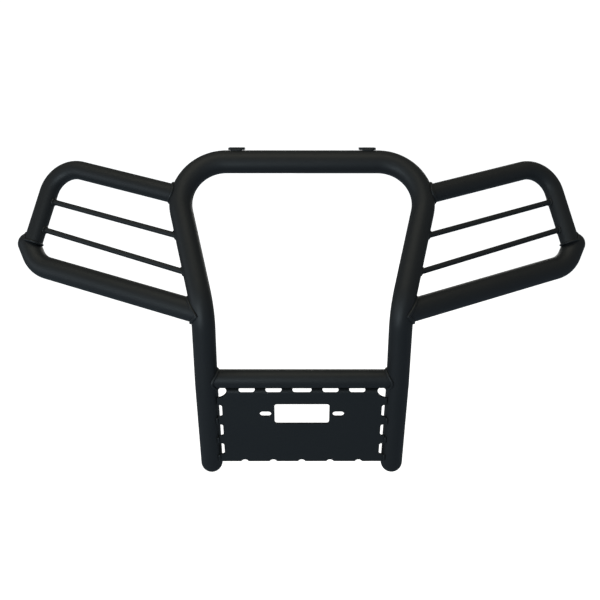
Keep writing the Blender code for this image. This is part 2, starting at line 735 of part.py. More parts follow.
def main():
    """Builds every sub-part and hangs the guard on its frame mount."""
    clear_scene()
    shop = Workshop()
    hoop = hoop_path()
    hoop_bar = clearance_bar(shop, "hoop_bar", hoop, HOOP_RADIUS)
    build_hoop(shop, hoop)
    build_cross_tube(shop, hoop, hoop_bar)
    build_plate(shop, hoop, hoop_bar)
    for name, side in SIDES:
        build_wing(shop, hoop, hoop_bar, name, side)
        build_tab(shop, name, side)
    shop.origin.location = -frame_mount()
    bpy.context.view_layer.update()


main()
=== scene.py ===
"""Front grille guard for a quad bike: the welded tubes, the winch plate and their powder coat, in fine detail.

X runs across the guard, -Y points ahead of the vehicle and +Z points up. The origin is the middle of the underside of
the winch plate's bottom flange. Left and right are as seen from the front. Lengths are in metres.
"""

import logging
import math
from dataclasses import dataclass, field
from enum import Enum
from typing import Iterator, Optional, Sequence, Union

import bmesh
import bpy
from mathutils import Matrix, Quaternion, Vector


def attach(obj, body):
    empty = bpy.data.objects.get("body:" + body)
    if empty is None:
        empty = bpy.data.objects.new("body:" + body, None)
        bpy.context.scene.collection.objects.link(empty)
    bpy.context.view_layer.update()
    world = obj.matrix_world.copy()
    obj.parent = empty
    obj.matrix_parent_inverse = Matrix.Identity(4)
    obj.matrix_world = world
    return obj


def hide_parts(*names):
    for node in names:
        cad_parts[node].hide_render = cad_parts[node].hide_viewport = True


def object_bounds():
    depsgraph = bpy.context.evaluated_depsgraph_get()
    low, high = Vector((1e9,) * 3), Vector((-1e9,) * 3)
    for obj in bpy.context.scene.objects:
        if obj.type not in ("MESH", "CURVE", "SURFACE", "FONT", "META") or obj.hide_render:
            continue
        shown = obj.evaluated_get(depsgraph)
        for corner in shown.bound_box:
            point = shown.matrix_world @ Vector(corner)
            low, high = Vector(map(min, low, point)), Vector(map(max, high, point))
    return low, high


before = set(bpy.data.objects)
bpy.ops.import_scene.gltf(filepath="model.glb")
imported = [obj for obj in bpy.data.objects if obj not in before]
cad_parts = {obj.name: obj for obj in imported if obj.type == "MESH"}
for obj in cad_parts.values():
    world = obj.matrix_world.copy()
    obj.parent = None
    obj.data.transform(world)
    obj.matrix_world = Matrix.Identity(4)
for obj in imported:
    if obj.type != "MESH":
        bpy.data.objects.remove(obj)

CAD_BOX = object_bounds()
LOG = logging.getLogger("grille_guard")
ROOT = "root"
GAP = 0.0003
RIM_LIMIT = math.radians(50.0)
WELD_SINK = 0.3  # how far a bead's middle stands off both tubes, as a share of its radius
RING_POINTS = 72
ROD_RING_POINTS = 36
SADDLE_NEAR = 0.25
SADDLE_REACH = 0.12
SADDLE_HALVINGS = 18


class Side(Enum):
    """Which side of the guard a piece is on, as seen from the front."""

    LEFT = "left"
    RIGHT = "right"

    @property
    def sign(self) -> int:
        """-1 on the left and 1 on the right."""
        return -1 if self is Side.LEFT else 1


class Slot(Enum):
    """The finishes that the guard's record lists."""

    TUBE = "tube_coat"
    ROD = "rod_coat"
    PLATE = "plate_coat"
    WELD = "weld_coat"


# ---------------------------------------------------------------- shader sockets


@dataclass
class Socket:
    """One output of a node tree, which arithmetic turns into Math nodes."""

    tree: bpy.types.NodeTree
    out: bpy.types.NodeSocket

    def _math(self, operation: str, *others: Union["Socket", float], swap: bool = False) -> "Socket":
        """Adds a Math node.

        Args:
            operation: The Math node's operation.
            others: The remaining operands.
            swap: Whether the first other operand comes before this socket.

        Returns:
            The node's value.
        """
        values: list[Union["Socket", float]] = [self, *others]
        if swap:
            values[0], values[1] = values[1], values[0]
        return add_node(self.tree, "ShaderNodeMath", {"operation": operation}, dict(enumerate(values)))

    def __add__(self, other: Union["Socket", float]) -> "Socket":
        """This plus other."""
        return self._math("ADD", other)

    def __radd__(self, other: float) -> "Socket":
        """Other plus this."""
        return self._math("ADD", other, swap=True)

    def __sub__(self, other: Union["Socket", float]) -> "Socket":
        """This less other."""
        return self._math("SUBTRACT", other)

    def __rsub__(self, other: float) -> "Socket":
        """Other less this."""
        return self._math("SUBTRACT", other, swap=True)

    def __mul__(self, other: Union["Socket", float]) -> "Socket":
        """This times other."""
        return self._math("MULTIPLY", other)

    def __rmul__(self, other: float) -> "Socket":
        """Other times this."""
        return self._math("MULTIPLY", other, swap=True)

    def power(self, exponent: float) -> "Socket":
        """This raised to the exponent."""
        return self._math("POWER", exponent)

    def ramp(self, low: float, high: float) -> "Socket":
        """0 at low, 1 at high, smooth between and clamped outside."""
        settings = {"interpolation_type": "SMOOTHSTEP"}
        return add_node(self.tree, "ShaderNodeMapRange", settings, {"Value": self, "From Min": low, "From Max": high})


def add_node(
    tree: bpy.types.NodeTree,
    kind: str,
    settings: Optional[dict[str, object]] = None,
    inputs: Optional[dict[Union[str, int], object]] = None,
    output: Union[str, int] = 0,
) -> Socket:
    """Adds a node, sets it up and links its inputs.

    Args:
        tree: The node tree.
        kind: The node's type.
        settings: The node's properties by name.
        inputs: Values or sockets by input name or number.
        output: The output to return, by name or number.

    Returns:
        The chosen output.
    """
    node = tree.nodes.new(kind)
    for name, value in (settings or {}).items():
        setattr(node, name, value)
    for key, value in (inputs or {}).items():
        if isinstance(value, Socket):
            tree.links.new(value.out, node.inputs[key])
        else:
            node.inputs[key].default_value = value
    return Socket(tree, node.outputs[output])


# ---------------------------------------------------------------- finishes


@dataclass(frozen=True)
class PowderCoat:
    """Satin black powder coat with a fine grain, a slight orange peel and a mottled warm, lighter tint painted on its
    upward faces as top light.
    """

    name: str
    colour: tuple[float, float, float] = (0.0185, 0.0200, 0.0220)
    # painted top light: a warmer, lighter colour blended in, in noisy patches, mostly on upward faces
    painted_top_light: tuple[float, float, float] = (0.0420, 0.0410, 0.0370)
    painted_top_light_amount: float = 0.30
    roughness: float = 0.47
    roughness_spread: float = 0.10
    grain_size: float = 0.00055
    grain_depth: float = 0.00006
    peel_size: float = 0.0045
    peel_depth: float = 0.00010

    def material(self) -> bpy.types.Material:
        """The finish as a node material that reads Object coordinates.

        Returns:
            The material, made once and shared after that.
        """
        found = bpy.data.materials.get(self.name)
        if found:
            return found
        material = bpy.data.materials.new(self.name)
        material.use_nodes = True
        tree = material.node_tree
        shader = tree.nodes["Principled BSDF"]
        place = add_node(tree, "ShaderNodeTexCoord", output="Object")
        clouds = self._noise(tree, place, 0.085, 4.0, 0.55)
        specks = self._noise(tree, place, 0.0021, 2.0, 0.5)
        grain = self._noise(tree, place, self.grain_size, 1.0, 0.5)
        peel = self._noise(tree, place, self.peel_size, 2.0, 0.5)
        facing = add_node(tree, "ShaderNodeNewGeometry", output="Normal")
        upward = add_node(tree, "ShaderNodeSeparateXYZ", inputs={0: facing}, output="Z").ramp(-0.1, 1.0)
        # painted top light: a noise-mottled mask, strongest where the normal faces up, that blends in the warmer,
        # lighter colour
        painted_top_light_mask = (clouds.ramp(0.35, 0.75) * 0.6 + specks.ramp(0.5, 0.8) * 0.4) * (upward * 0.75 + 0.25)
        tint = add_node(
            tree,
            "ShaderNodeMix",
            {"data_type": "RGBA"},
            {"Factor": painted_top_light_mask * self.painted_top_light_amount, 6: (*self.colour, 1.0), 7: (*self.painted_top_light, 1.0)},
            output=2,
        )
        rough = clouds * self.roughness_spread + specks * 0.05 + (self.roughness - self.roughness_spread / 2)
        bumped = add_node(
            tree,
            "ShaderNodeBump",
            inputs={"Strength": 1.0, "Distance": 1.0, "Height": grain * self.grain_depth + peel * self.peel_depth},
            output="Normal",
        )
        tree.links.new(tint.out, shader.inputs["Base Color"])
        tree.links.new(rough.out, shader.inputs["Roughness"])
        tree.links.new(bumped.out, shader.inputs["Normal"])
        shader.inputs["Specular IOR Level"].default_value = 0.5
        material.diffuse_color = (*self.colour, 1.0)
        return material

    @staticmethod
    def _noise(tree: bpy.types.NodeTree, place: Socket, size: float, detail: float, roughness: float) -> Socket:
        """Noise whose features are about this size in metres."""
        inputs = {"Vector": place, "Scale": 1.0 / size, "Detail": detail, "Roughness": roughness}
        return add_node(tree, "ShaderNodeTexNoise", inputs=inputs, output="Fac")


TUBE_COAT = PowderCoat("satin_black_tube_coat")
ROD_COAT = PowderCoat("satin_black_rod_coat", roughness=0.50)
PLATE_COAT = PowderCoat("satin_black_plate_coat", colour=(0.0180, 0.0205, 0.0225), roughness=0.50, peel_depth=0.00013)
# the weld coat takes a little more of the painted top light
WELD_COAT = PowderCoat("satin_black_weld_coat", roughness=0.43, peel_depth=0.00005, painted_top_light_amount=0.36)


# ---------------------------------------------------------------- making pieces


def mesh_from(name: str, shape: bmesh.types.BMesh) -> bpy.types.Mesh:
    """Turns a bmesh into a mesh.

    Args:
        name: The mesh's name.
        shape: The bmesh, which is freed.

    Returns:
        The mesh.
    """
    mesh = bpy.data.meshes.new(name)
    shape.to_mesh(mesh)
    shape.free()
    return mesh


def put_in_scene(name: str, data: Optional[bpy.types.ID]) -> bpy.types.Object:
    """Makes an object at the origin.

    Args:
        name: The object's name.
        data: Its mesh, light or camera.

    Returns:
        The object, linked to the scene.
    """
    obj = bpy.data.objects.new(name, data)
    bpy.context.scene.collection.objects.link(obj)
    return obj


def finish_piece(
    name: str, shape: bmesh.types.BMesh, coat: PowderCoat, slot: Slot, nodes: Sequence[str], crease: float = 35.0
) -> bpy.types.Object:
    """Turns a bmesh into a finished piece of the guard.

    Args:
        name: The piece's name.
        shape: The bmesh, which is freed.
        coat: Its finish.
        slot: The record's slot for that finish.
        nodes: The CAD nodes that it stands for.
        crease: The angle in degrees past which an edge stays sharp.

    Returns:
        The piece's object, at the origin.
    """
    bmesh.ops.remove_doubles(shape, verts=shape.verts, dist=1e-6)
    bmesh.ops.recalc_face_normals(shape, faces=shape.faces)
    mesh = mesh_from(name, shape)
    mesh.shade_smooth()
    mesh.set_sharp_from_angle(angle=math.radians(crease))
    piece = put_in_scene(name, mesh)
    dress(piece, coat, slot, nodes)
    return piece


def dress(piece: bpy.types.Object, coat: PowderCoat, slot: Slot, nodes: Sequence[str]) -> None:
    """Gives a piece its finish, its body and the CAD nodes that it stands for.

    Args:
        piece: The piece's object.
        coat: Its finish.
        slot: The record's slot for that finish; not used.
        nodes: The CAD nodes that it stands for.
    """
    piece.data.materials.clear()
    piece.data.materials.append(coat.material())
    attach(piece, ROOT)
    if nodes:
        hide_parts(*nodes)
    LOG.info("%s: %d faces, stands for %s", piece.name, len(piece.data.polygons), ", ".join(nodes) or "nothing")


def ring_edges(geometry: Sequence[object]) -> list[bmesh.types.BMEdge]:
    """The edges among a bmesh operator's results."""
    return [g for g in geometry if isinstance(g, bmesh.types.BMEdge)]


def ring_verts(geometry: Sequence[object]) -> list[bmesh.types.BMVert]:
    """The vertices among a bmesh operator's results."""
    return [g for g in geometry if isinstance(g, bmesh.types.BMVert)]


def draw_on(shape: bmesh.types.BMesh, geometry: Sequence[object], by: Vector) -> list[bmesh.types.BMVert]:
    """Draws a straight edge on from an outline's last point.

    Args:
        shape: The bmesh.
        geometry: The results that hold the last point.
        by: How far and which way to draw.

    Returns:
        The edge's new end.
    """
    made = bmesh.ops.extrude_vert_indiv(shape, verts=ring_verts(geometry))
    bmesh.ops.translate(shape, vec=by, verts=made["verts"])
    return list(made["verts"])


def facing(place: Vector, heading: Vector) -> Matrix:
    """A matrix that puts a shape's origin at the place and its Z axis along the heading."""
    return Matrix.Translation(place) @ heading.to_track_quat("Z", "X").to_matrix().to_4x4()


@dataclass
class Bend:
    """One bend of a tube: where its arc starts and ends, and what it turns about."""

    start: Vector
    end: Vector
    centre: Vector
    axis: Vector
    angle: float


@dataclass
class BentTube:
    """A round tube bent on a former: straight runs joined by arcs of one radius."""

    corners: list[Vector]
    radius: float
    bend_radius: float = 0.0
    sides: int = 64
    arc_step: float = math.radians(3.0)

    def bends(self) -> list[Bend]:
        """The tube's bends in order.

        Returns:
            One bend for each inner corner.
        """
        found = []
        for before, corner, after in zip(self.corners, self.corners[1:], self.corners[2:]):
            back, ahead = (before - corner).normalized(), (after - corner).normalized()
            turn = math.pi - back.angle(ahead)
            centre = corner + (back + ahead).normalized() * self.bend_radius / math.cos(turn / 2)
            reach = self.bend_radius * math.tan(turn / 2)
            axis = ahead.cross(back).normalized()
            found.append(Bend(corner + back * reach, corner + ahead * reach, centre, axis, turn))
        return found

    def centre_line(self) -> list[Vector]:
        """Closely spaced points along the tube's middle.

        Returns:
            The points, from the first corner to the last.
        """
        path = [self.corners[0].copy()]
        for bend in self.bends():
            steps = max(2, math.ceil(bend.angle / self.arc_step))
            arm = bend.start - bend.centre
            path += [bend.centre + Quaternion(bend.axis, bend.angle * i / steps) @ arm for i in range(steps + 1)]
        path.append(self.corners[-1].copy())
        return path

    def mirrored(self) -> "BentTube":
        """The same tube on the guard's other side."""
        corners = [Vector((-c.x, c.y, c.z)) for c in self.corners]
        return BentTube(corners, self.radius, self.bend_radius, self.sides, self.arc_step)

    def shape(self) -> bmesh.types.BMesh:
        """The tube as a closed bmesh, extruded along its straights and spun round its bends.

        Returns:
            The bmesh, which the caller frees.
        """
        shape = bmesh.new()
        heading = (self.corners[1] - self.corners[0]).normalized()
        made = bmesh.ops.create_circle(
            shape, cap_ends=False, segments=self.sides, radius=self.radius, matrix=facing(self.corners[0], heading)
        )
        ring = list({e for v in made["verts"] for e in v.link_edges})
        bmesh.ops.contextual_create(shape, geom=ring)
        here = self.corners[0]
        for bend in self.bends():
            ring = self._push(shape, ring, bend.start - here)
            steps = max(2, math.ceil(bend.angle / self.arc_step))
            turned = bmesh.ops.spin(
                shape, geom=ring, cent=bend.centre, axis=bend.axis, angle=bend.angle, steps=steps, use_merge=False
            )
            ring = ring_edges(turned["geom_last"])
            here = bend.end
        ring = self._push(shape, ring, self.corners[-1] - here)
        bmesh.ops.contextual_create(shape, geom=ring)
        return shape

    @staticmethod
    def _push(shape: bmesh.types.BMesh, ring: list[bmesh.types.BMEdge], by: Vector) -> list[bmesh.types.BMEdge]:
        """Extrudes a ring of edges by a vector and returns the new ring.

        Args:
            shape: The bmesh.
            ring: The ring's edges.
            by: How far and which way to push them.

        Returns:
            The new ring's edges.
        """
        made = bmesh.ops.extrude_edge_only(shape, edges=ring)
        bmesh.ops.translate(shape, vec=by, verts=ring_verts(made["geom"]))
        moved = set(ring_verts(made["geom"]))
        return [e for e in ring_edges(made["geom"]) if set(e.verts) <= moved]


# ---------------------------------------------------------------- welds


@dataclass
class WeldBead:
    """A weld bead: overlapping ripples along a line, on a round section."""

    path: list[Vector]
    radius: float
    closed: bool = True
    pitch: float = 0.0030
    ripple: float = 0.13
    sides: int = 14

    def _stations(self) -> Iterator[tuple[Vector, Vector, float]]:
        """Evenly spaced places along the line, each with its heading and its distance from the start.

        Yields:
            A place, its heading and how many ripples lie before it.
        """
        path = self.path + [self.path[0]] if self.closed else self.path
        lengths = [(b - a).length for a, b in zip(path, path[1:])]
        total = sum(lengths)
        ripples = max(3, round(total / self.pitch))
        count = ripples * 6
        leg, walked = 0, 0.0
        for i in range(count if self.closed else count + 1):
            want = total * i / count
            while leg < len(lengths) - 1 and walked + lengths[leg] < want:
                walked += lengths[leg]
                leg += 1
            share = (want - walked) / lengths[leg]
            heading = (path[leg + 1] - path[leg]).normalized()
            yield path[leg].lerp(path[leg + 1], share), heading, want / total * ripples

    def _size(self, phase: float, ripples: float) -> float:
        """The bead's radius at a place, which swells over each ripple and shrinks at an open bead's ends.

        Args:
            phase: How many ripples lie before the place.
            ripples: How many ripples the bead has.

        Returns:
            The radius in metres.
        """
        share = phase % 1.0
        size = self.radius * (1 - self.ripple + self.ripple * math.sqrt(max(0.0, 1 - (1.15 * share - 0.3) ** 2)))
        if not self.closed:
            edge = min(phase, ripples - phase)
            size *= math.sqrt(max(0.02, min(1.0, edge / 1.2)))
        return size

    def shape(self) -> bmesh.types.BMesh:
        """The bead as a closed bmesh: rings at its stations, bridged.

        Returns:
            The bmesh, which the caller frees.
        """
        shape = bmesh.new()
        stations = list(self._stations())
        ripples = stations[-1][2]
        rings = []
        up = Vector((0.31, -0.62, 0.72)).normalized()
        for i, (place, heading, phase) in enumerate(stations):
            before, after = stations[i - 1][0], stations[(i + 1) % len(stations)][0]
            if self.closed or 0 < i < len(stations) - 1:
                heading = (after - before).normalized()
            side = heading.cross(up).normalized() if i == 0 else (side - heading * side.dot(heading)).normalized()
            turn = Matrix((side, heading.cross(side), heading)).transposed().to_4x4()
            made = bmesh.ops.create_circle(
                shape,
                cap_ends=False,
                segments=self.sides,
                radius=self._size(phase, ripples),
                matrix=Matrix.Translation(place) @ turn,
            )
            rings.append(list({e for v in made["verts"] for e in v.link_edges}))
        pairs = list(zip(rings, rings[1:]))
        for first, second in pairs:
            bmesh.ops.bridge_loops(shape, edges=first + second)
        if self.closed:
            bmesh.ops.bridge_loops(shape, edges=rings[-1] + rings[0])
        else:
            for ring in (rings[0], rings[-1]):
                bmesh.ops.contextual_create(shape, geom=ring)
        return shape


def at_level(path: Sequence[Vector], level: float) -> Vector:
    """The first place on a line of points at a level.

    Args:
        path: The line's points in order.
        level: The level along Z.

    Returns:
        The place.
    """
    for start, end in zip(path, path[1:]):
        if min(start.z, end.z) <= level <= max(start.z, end.z):
            return start.lerp(end, (level - start.z) / (end.z - start.z))
    raise ValueError(f"the line does not reach {level}")


def distance_to(path: Sequence[Vector], place: Vector) -> float:
    """How far a place is from a line of points.

    Args:
        path: The line's points in order.
        place: The place.

    Returns:
        The distance in metres.
    """
    best = math.inf
    for start, end in zip(path, path[1:]):
        along = end - start
        share = max(0.0, min(1.0, (place - start).dot(along) / along.length_squared))
        best = min(best, (start + along * share - place).length)
    return best


def saddle(
    start: Vector, heading: Vector, branch: float, main: Sequence[Vector], main_radius: float, lift: float, points: int
) -> list[Vector]:
    """The line round a branch tube where it meets a main tube.

    Args:
        start: A place on the branch's middle, inside the main tube.
        heading: The way the branch leaves the main tube.
        branch: The branch's radius.
        main: The main tube's middle.
        main_radius: The main tube's radius.
        lift: How far the line lies off both tubes.
        points: How many points the line has.

    Returns:
        The line's points in order.
    """
    across = heading.orthogonal().normalized()
    other = heading.cross(across).normalized()
    main = [p for i, p in enumerate(main) if any((q - start).length < SADDLE_NEAR for q in main[max(0, i - 1) : i + 2])]
    line = []
    for i in range(points):
        angle = 2 * math.pi * i / points
        rim = start + (across * math.cos(angle) + other * math.sin(angle)) * (branch + lift)
        near, far = 0.0, SADDLE_REACH
        if distance_to(main, rim) < main_radius + lift:
            for _ in range(SADDLE_HALVINGS):
                middle = (near + far) / 2
                if distance_to(main, rim + heading * middle) < main_radius + lift:
                    near = middle
                else:
                    far = middle
            rim = rim + heading * far
        line.append(rim)
    return line


def weld_joint(name: str, node: str, line: list[Vector], radius: float, pitch: float = 0.0032) -> None:
    """Makes the closed bead of one joint and puts it in place of its CAD node."""
    finish_piece(name, WeldBead(line, radius, pitch=pitch).shape(), WELD_COAT, Slot.WELD, [node], crease=60.0)


def end_dome(tip: Vector, outward: Vector, radius: float, node: str) -> None:
    """Makes the pressed dome that closes a tube's end.

    Args:
        tip: The middle of the tube's end.
        outward: The way out of the tube.
        radius: The tube's radius.
        node: The CAD node that the dome stands for.
    """
    shape = bmesh.new()
    bmesh.ops.create_uvsphere(shape, u_segments=64, v_segments=40, radius=radius, matrix=facing(tip, outward))
    geometry = shape.verts[:] + shape.edges[:] + shape.faces[:]
    inside = tip - outward * 0.001
    cut = bmesh.ops.bisect_plane(shape, geom=geometry, plane_co=inside, plane_no=outward, clear_inner=True)
    bmesh.ops.contextual_create(shape, geom=ring_edges(cut["geom_cut"]))
    finish_piece(f"{node}_dome", shape, TUBE_COAT, Slot.TUBE, [node])


# ---------------------------------------------------------------- the guard's sizes


@dataclass
class GuardSizes:
    """Sizes that several sub-assemblies share, measured from the hoop's feet and its foremost corner."""

    hoop_radius: float = 0.01905
    cross_radius: float = 0.015875
    wing_upper_radius: float = 0.015875
    wing_lower_radius: float = 0.01905
    rod_radius: float = 0.0047625
    foot_half_span: float = 0.1600
    foot_height: float = 0.0027
    kink: tuple[float, float, float] = (0.1600, 0.0790, 0.1500)
    nose: tuple[float, float, float] = (0.1583, 0.0, 0.2749)
    shoulder: tuple[float, float, float] = (0.2186, 0.0700, 0.5203)
    lower_rake: float = math.radians(35.0)
    hoop_bend: float = 0.0735
    cross_height: float = 0.1590
    face_offset: float = 0.0120
    foot_clearance: float = 0.0077
    flange_depth: float = 0.0300
    plate_bend: float = 0.0064
    plate_thickness: float = 0.0035

    @property
    def plate_back(self) -> Vector:
        """The way the plate's flanges run."""
        return Vector((0.0, math.cos(self.lower_rake), math.sin(self.lower_rake)))

    @property
    def plate_up(self) -> Vector:
        """The way up the plate's face."""
        return Vector((0.0, -math.sin(self.lower_rake), math.cos(self.lower_rake)))

    @property
    def foot(self) -> Vector:
        """The middle of the right foot's end."""
        setback = self.kink[1] + (self.kink[2] - self.foot_height) * math.tan(self.lower_rake)
        return Vector((self.foot_half_span, setback, self.foot_height))

    @property
    def raw_plate_corner(self) -> Vector:
        """The middle of the plate's lower bend line, before the guard is moved to its origin."""
        face = Vector((0.0, self.foot.y, self.foot.z)) - self.plate_back * self.face_offset
        return face + self.plate_up * self.foot_clearance

    @property
    def origin(self) -> Vector:
        """The middle of the bottom flange's underside, which becomes the origin."""
        return self.raw_plate_corner + self.plate_back * (self.plate_bend + self.flange_depth) / 2

    @property
    def plate_corner(self) -> Vector:
        """The middle of the plate's lower bend line."""
        return self.raw_plate_corner - self.origin

    @property
    def hoop(self) -> BentTube:
        """The hoop, from the left foot over the top to the right foot.

        Returns:
            The tube, moved to the guard's origin.
        """
        half = [self.foot, Vector(self.kink), Vector(self.nose), Vector(self.shoulder)]
        right = [p - self.origin for p in half]
        left = [Vector((-p.x, p.y, p.z)) for p in right]
        return BentTube(left + right[::-1], self.hoop_radius, self.hoop_bend)

    def on_hoop(self, height: float) -> Vector:
        """The place on the left upright's middle at a height above the feet."""
        return at_level(self.hoop.centre_line(), height - self.origin.z)

    def on_wing(self, span: float, height: float, sweep: float) -> Vector:
        """A place on the left wing's swept plane, which leans back with the hoop's upper half.

        Args:
            span: How far the place is from the guard's middle.
            height: Its height above the feet.
            sweep: How far the plane sweeps back, in radians.

        Returns:
            The place.
        """
        share = (height - self.nose[2]) / (self.shoulder[2] - self.nose[2])
        hoop_span = self.nose[0] + share * (self.shoulder[0] - self.nose[0])
        setback = share * self.shoulder[1] + (span - hoop_span) * math.tan(sweep)
        return Vector((-span, setback, height)) - self.origin


# ---------------------------------------------------------------- hoop


@dataclass
class Hoop:
    """The bent hoop, the domes on its feet and the cross tube."""

    sizes: GuardSizes
    weld: float = 0.0027

    def build(self) -> None:
        """Makes the hoop's pieces."""
        hoop = self.sizes.hoop
        finish_piece("main_hoop_tube", hoop.shape(), TUBE_COAT, Slot.TUBE, ["main_hoop"])
        for side, corners in ((Side.LEFT, hoop.corners), (Side.RIGHT, hoop.corners[::-1])):
            end_dome(corners[0], (corners[0] - corners[1]).normalized(), hoop.radius, f"{side.value}_hoop_end_cap")
        self._cross_tube(hoop)

    def _cross_tube(self, hoop: BentTube) -> None:
        """The cross tube and the bead at each end.

        Args:
            hoop: The hoop that it joins.
        """
        end = self.sizes.on_hoop(self.sizes.cross_height)
        tube = BentTube([end, Vector((-end.x, end.y, end.z))], self.sizes.cross_radius)
        finish_piece("cross_tube_bar", tube.shape(), TUBE_COAT, Slot.TUBE, ["cross_tube"])
        for side, start in ((Side.LEFT, tube.corners[0]), (Side.RIGHT, tube.corners[1])):
            heading = Vector((-side.sign, 0.0, 0.0))
            lift = self.weld * WELD_SINK
            line = saddle(start, heading, tube.radius, hoop.centre_line(), hoop.radius, lift, RING_POINTS)
            weld_joint(f"cross_tube_bead_{side.value}", f"weld_cross_tube_{side.value}", line, self.weld)


# ---------------------------------------------------------------- wings


@dataclass
class Wing:
    """One side wing: upper and lower tubes, two rods, the tip's dome and every joint's bead."""

    sizes: GuardSizes
    side: Side
    sweep: float = math.radians(18.8)
    lower_sweep: float = math.radians(19.8)
    upper_root_height: float = 0.4618
    upper_corner: tuple[float, float] = (0.4247, 0.5256)
    upper_bend: float = 0.0490
    leg_end: tuple[float, float] = (0.4634, 0.3898)
    lower_root_height: float = 0.2691
    lower_corner: tuple[float, float] = (0.4540, 0.3501)
    lower_bend: float = 0.0510
    tip: tuple[float, float] = (0.4727, 0.3878)
    rods: tuple[tuple[str, float, float], ...] = (("upper_rod", 0.3900, 0.4634), ("lower_rod", 0.3298, 0.4150))
    weld: float = 0.0027
    tip_weld: float = 0.0019
    rod_weld: float = 0.0019
    rod_lift: float = 0.0007

    @property
    def upper(self) -> BentTube:
        """The upper tube, from the hoop round its corner and down the outer leg.

        Returns:
            The tube on this wing's side.
        """
        sizes = self.sizes
        corners = [
            sizes.on_hoop(self.upper_root_height),
            sizes.on_wing(*self.upper_corner, self.sweep),
            sizes.on_wing(*self.leg_end, self.sweep),
        ]
        return self._sided(BentTube(corners, sizes.wing_upper_radius, self.upper_bend))

    @property
    def lower(self) -> BentTube:
        """The lower tube, from the hoop to its upturned end.

        Returns:
            The tube on this wing's side.
        """
        sizes = self.sizes
        corners = [
            sizes.on_hoop(self.lower_root_height),
            sizes.on_wing(*self.lower_corner, self.lower_sweep),
            sizes.on_wing(*self.tip, self.lower_sweep),
        ]
        return self._sided(BentTube(corners, sizes.wing_lower_radius, self.lower_bend))

    def _sided(self, tube: BentTube) -> BentTube:
        """The tube on this wing's side."""
        return tube if self.side is Side.LEFT else tube.mirrored()

    def build(self) -> None:
        """Makes the wing's pieces."""
        side, hoop = self.side.value, self.sizes.hoop
        upper, lower = self.upper, self.lower
        finish_piece(f"{side}_wing_upper_bar", upper.shape(), TUBE_COAT, Slot.TUBE, [f"{side}_wing_upper_tube"])
        finish_piece(f"{side}_wing_lower_bar", lower.shape(), TUBE_COAT, Slot.TUBE, [f"{side}_wing_lower_tube"])
        outward = (lower.corners[-1] - lower.corners[-2]).normalized()
        end_dome(lower.corners[-1], outward, lower.radius, f"{side}_wing_end_cap")
        self._rods(hoop, upper)
        joints = (
            ("wing_upper", upper.corners, upper.radius, hoop, self.weld),
            ("wing_lower", lower.corners, lower.radius, hoop, self.weld),
            ("wing_tip", upper.corners[::-1], upper.radius, lower, self.tip_weld),
        )
        for joint, corners, radius, main, bead in joints:
            heading = (corners[1] - corners[0]).normalized()
            line = saddle(corners[0], heading, radius, main.centre_line(), main.radius, bead * WELD_SINK, RING_POINTS)
            weld_joint(f"{joint}_bead_{side}", f"weld_{joint}_{side}", line, bead)

    def _rods(self, hoop: BentTube, upper: BentTube) -> None:
        """The two thin rods between the hoop and the outer leg, with a small bead at each end.

        Args:
            hoop: The hoop that the rods start from.
            upper: The upper tube that they end on.
        """
        leg = self.upper if self.side is Side.LEFT else self.upper.mirrored()
        for rod, inner_height, outer_height in self.rods:
            ends = [self.sizes.on_hoop(inner_height), self._on_leg(leg, outer_height)]
            tube = self._sided(BentTube(ends, self.sizes.rod_radius, sides=32))
            node = f"{self.side.value}_{rod}"
            finish_piece(f"{node}_bar", tube.shape(), ROD_COAT, Slot.ROD, [node])
            for end, corners, main in (("inner", tube.corners, hoop), ("outer", tube.corners[::-1], upper)):
                heading = (corners[1] - corners[0]).normalized()
                line = saddle(
                    corners[0], heading, tube.radius, main.centre_line(), main.radius, self.rod_lift, ROD_RING_POINTS
                )
                weld_joint(f"{node}_bead_{end}", f"weld_{node}_{end}", line, self.rod_weld, 0.0022)

    def _on_leg(self, leg: BentTube, height: float) -> Vector:
        """The place on the outer leg's middle at a height above the feet."""
        return at_level(leg.centre_line()[::-1], height - self.sizes.origin.z)


# ---------------------------------------------------------------- winch plate


